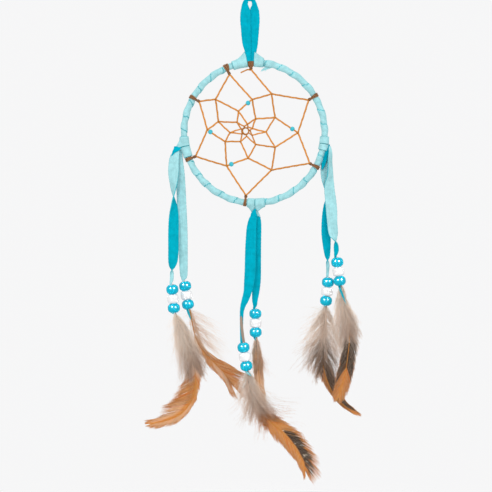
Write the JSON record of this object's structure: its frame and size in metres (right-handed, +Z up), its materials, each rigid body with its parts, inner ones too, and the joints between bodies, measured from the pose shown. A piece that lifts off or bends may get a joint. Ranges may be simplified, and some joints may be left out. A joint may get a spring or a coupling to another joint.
{
  "type": "dream catcher",
  "caption": "Hanging dream catcher: suede-wrapped metal hoop with a knotted thread web, glass web beads, a strap loop to hang by, and suede strands that end in pony beads and feathers.",
  "frame": {"origin": "top of the hanging eye in the strap loop, where the nail or hook bears", "axes": "+Z up, +X to the right as seen from the front, +Y from the front to the back (towards the wall)"},
  "size_m": [0.1532, 0.0177, 0.3568],
  "materials": {
    "suede_light": "matte",
    "suede_dark": "matte",
    "thread": "satin",
    "lashing_thread": "satin",
    "wire": "satin",
    "bead_turquoise": "gloss",
    "bead_white": "gloss",
    "seed_bead": "gloss",
    "feather_orange": "matte",
    "feather_tan": "matte",
    "feather_dark": "matte"
  },
  "bodies": {
    "hanging_loop": {"loop_knot": "suede_dark", "loop_strap": "suede_dark"},
    "loop_neck": {"loop_neck": "suede_dark"},
    "hoop": {"hoop_wire": "wire", "hoop_wrap": "suede_light", "wrap_end": "suede_light", "web_thread": "thread", "web_tail": "thread", "lashing_top": "lashing_thread", "lashing_upper_left": "lashing_thread", "lashing_left": "lashing_thread", "lashing_lower_left": "lashing_thread", "lashing_bottom": "lashing_thread", "lashing_right": "lashing_thread", "lashing_upper_right": "lashing_thread", "loop_hitch": "suede_light", "left_hitch": "suede_light", "bottom_hitch": "suede_light", "right_hitch": "suede_light"},
    "web_bead_top": {"web_bead_top": "seed_bead"},
    "web_bead_left": {"web_bead_left": "seed_bead"},
    "web_bead_right": {"web_bead_right": "seed_bead"},
    "web_bead_bottom": {"web_bead_bottom": "seed_bead"},
    "left_bight": {"left_bight": "suede_dark"},
    "bottom_bight": {"bottom_bight": "suede_dark"},
    "right_bight": {"right_bight": "suede_dark"},
    "left_front_strand": {"left_front_strap": "suede_dark", "left_front_feather": "feather_orange"},
    "left_front_beads": {"left_front_bead_top": "bead_turquoise", "left_front_bead_middle": "bead_white", "left_front_bead_bottom": "bead_turquoise"},
    "left_rear_strand": {"left_rear_strap": "suede_light", "left_rear_feather": "feather_tan"},
    "left_rear_beads": {"left_rear_bead_top": "bead_turquoise", "left_rear_bead_middle": "bead_white", "left_rear_bead_bottom": "bead_turquoise"},
    "bottom_front_strand": {"bottom_front_strap": "suede_dark", "bottom_front_feather": "feather_orange"},
    "bottom_front_beads": {"bottom_front_bead_top": "bead_turquoise", "bottom_front_bead_middle": "bead_white", "bottom_front_bead_bottom": "bead_turquoise"},
    "bottom_rear_strand": {"bottom_rear_strap": "suede_dark", "bottom_rear_feather": "feather_orange"},
    "bottom_rear_beads": {"bottom_rear_bead_top": "bead_turquoise", "bottom_rear_bead_middle": "bead_white", "bottom_rear_bead_bottom": "bead_turquoise"},
    "right_front_strand": {"right_front_strap": "suede_light", "right_front_feather": "feather_dark"},
    "right_front_beads": {"right_front_bead_top": "bead_turquoise", "right_front_bead_middle": "bead_white", "right_front_bead_bottom": "bead_turquoise"},
    "right_rear_strand": {"right_rear_strap": "suede_dark", "right_rear_feather": "feather_dark"},
    "right_rear_beads": {"right_rear_bead_top": "bead_turquoise", "right_rear_bead_middle": "bead_white", "right_rear_bead_bottom": "bead_turquoise"}
  },
  "joints": [
    {"name": "hoop_turn", "type": "hinge", "parent": "hanging_loop", "child": "loop_neck", "pos_m": [0.0004, 0, -0.033], "axis": [0, 0, 1], "range_deg": [-90, 90]},
    {"name": "hoop_swing", "type": "hinge", "parent": "loop_neck", "child": "hoop", "pos_m": [0.0004, 0, -0.0386], "axis": [1, 0, 0], "range_deg": [-45, 45]},
    {"name": "web_bead_top_slide", "type": "slide", "parent": "hoop", "child": "web_bead_top", "axis": [-0.7619, 0, -0.6476], "range_m": [-0.0012, 0.0067]},
    {"name": "web_bead_left_slide", "type": "slide", "parent": "hoop", "child": "web_bead_left", "axis": [0.837, 0, -0.5472], "range_m": [-0.0003, 0.0104]},
    {"name": "web_bead_right_slide", "type": "slide", "parent": "hoop", "child": "web_bead_right", "axis": [-0.8321, 0, 0.5547], "range_m": [-0.0024, 0.0126]},
    {"name": "web_bead_bottom_slide", "type": "slide", "parent": "hoop", "child": "web_bead_bottom", "axis": [0.9424, 0, 0.3344], "range_m": [-0.0012, 0.0104]},
    {"name": "left_pair_swing", "type": "hinge", "parent": "hoop", "child": "left_bight", "pos_m": [-0.0532, 0, -0.1053], "axis": [1, 0, 0], "range_deg": [-45, 45]},
    {"name": "bottom_pair_swing", "type": "hinge", "parent": "hoop", "child": "bottom_bight", "pos_m": [0.0036, 0, -0.15], "axis": [1, 0, 0], "range_deg": [-45, 45]},
    {"name": "right_pair_swing", "type": "hinge", "parent": "hoop", "child": "right_bight", "pos_m": [0.0598, 0, -0.1043], "axis": [1, 0, 0], "range_deg": [-45, 45]},
    {"name": "left_front_swing", "type": "hinge", "parent": "left_bight", "child": "left_front_strand", "pos_m": [-0.054, -0.0013, -0.1108], "axis": [1, 0, 0], "range_deg": [-30, 0]},
    {"name": "left_front_beads_slide", "type": "slide", "parent": "left_front_strand", "child": "left_front_beads", "axis": [-0.0802, 0, 0.9968], "range_m": [0, 0.008]},
    {"name": "left_rear_swing", "type": "hinge", "parent": "left_bight", "child": "left_rear_strand", "pos_m": [-0.0524, 0.0013, -0.1108], "axis": [1, 0, 0], "range_deg": [0, 30]},
    {"name": "left_rear_beads_slide", "type": "slide", "parent": "left_rear_strand", "child": "left_rear_beads", "axis": [-0.1495, 0, 0.9888], "range_m": [0, 0.002]},
    {"name": "bottom_front_swing", "type": "hinge", "parent": "bottom_bight", "child": "bottom_front_strand", "pos_m": [0.003, -0.0013, -0.1555], "axis": [1, 0, 0], "range_deg": [-30, 0]},
    {"name": "bottom_front_beads_slide", "type": "slide", "parent": "bottom_front_strand", "child": "bottom_front_beads", "axis": [-0.1513, 0, 0.9885], "range_m": [0, 0.018]},
    {"name": "bottom_rear_swing", "type": "hinge", "parent": "bottom_bight", "child": "bottom_rear_strand", "pos_m": [0.0044, 0.0013, -0.1555], "axis": [1, 0, 0], "range_deg": [0, 30]},
    {"name": "bottom_rear_beads_slide", "type": "slide", "parent": "bottom_rear_strand", "child": "bottom_rear_beads", "axis": [-0.0157, 0, 0.9999], "range_m": [0, 0.007]},
    {"name": "right_front_swing", "type": "hinge", "parent": "right_bight", "child": "right_front_strand", "pos_m": [0.0596, -0.0013, -0.1098], "axis": [1, 0, 0], "range_deg": [-30, 0]},
    {"name": "right_front_beads_slide", "type": "slide", "parent": "right_front_strand", "child": "right_front_beads", "axis": [-0.1323, 0, 0.9912], "range_m": [0, 0.008]},
    {"name": "right_rear_swing", "type": "hinge", "parent": "right_bight", "child": "right_rear_strand", "pos_m": [0.0594, 0.0013, -0.1098], "axis": [1, 0, 0], "range_deg": [0, 30]},
    {"name": "right_rear_beads_slide", "type": "slide", "parent": "right_rear_strand", "child": "right_rear_beads", "axis": [0.1011, 0, 0.9949], "range_m": [0, 0.006]}
  ]
}
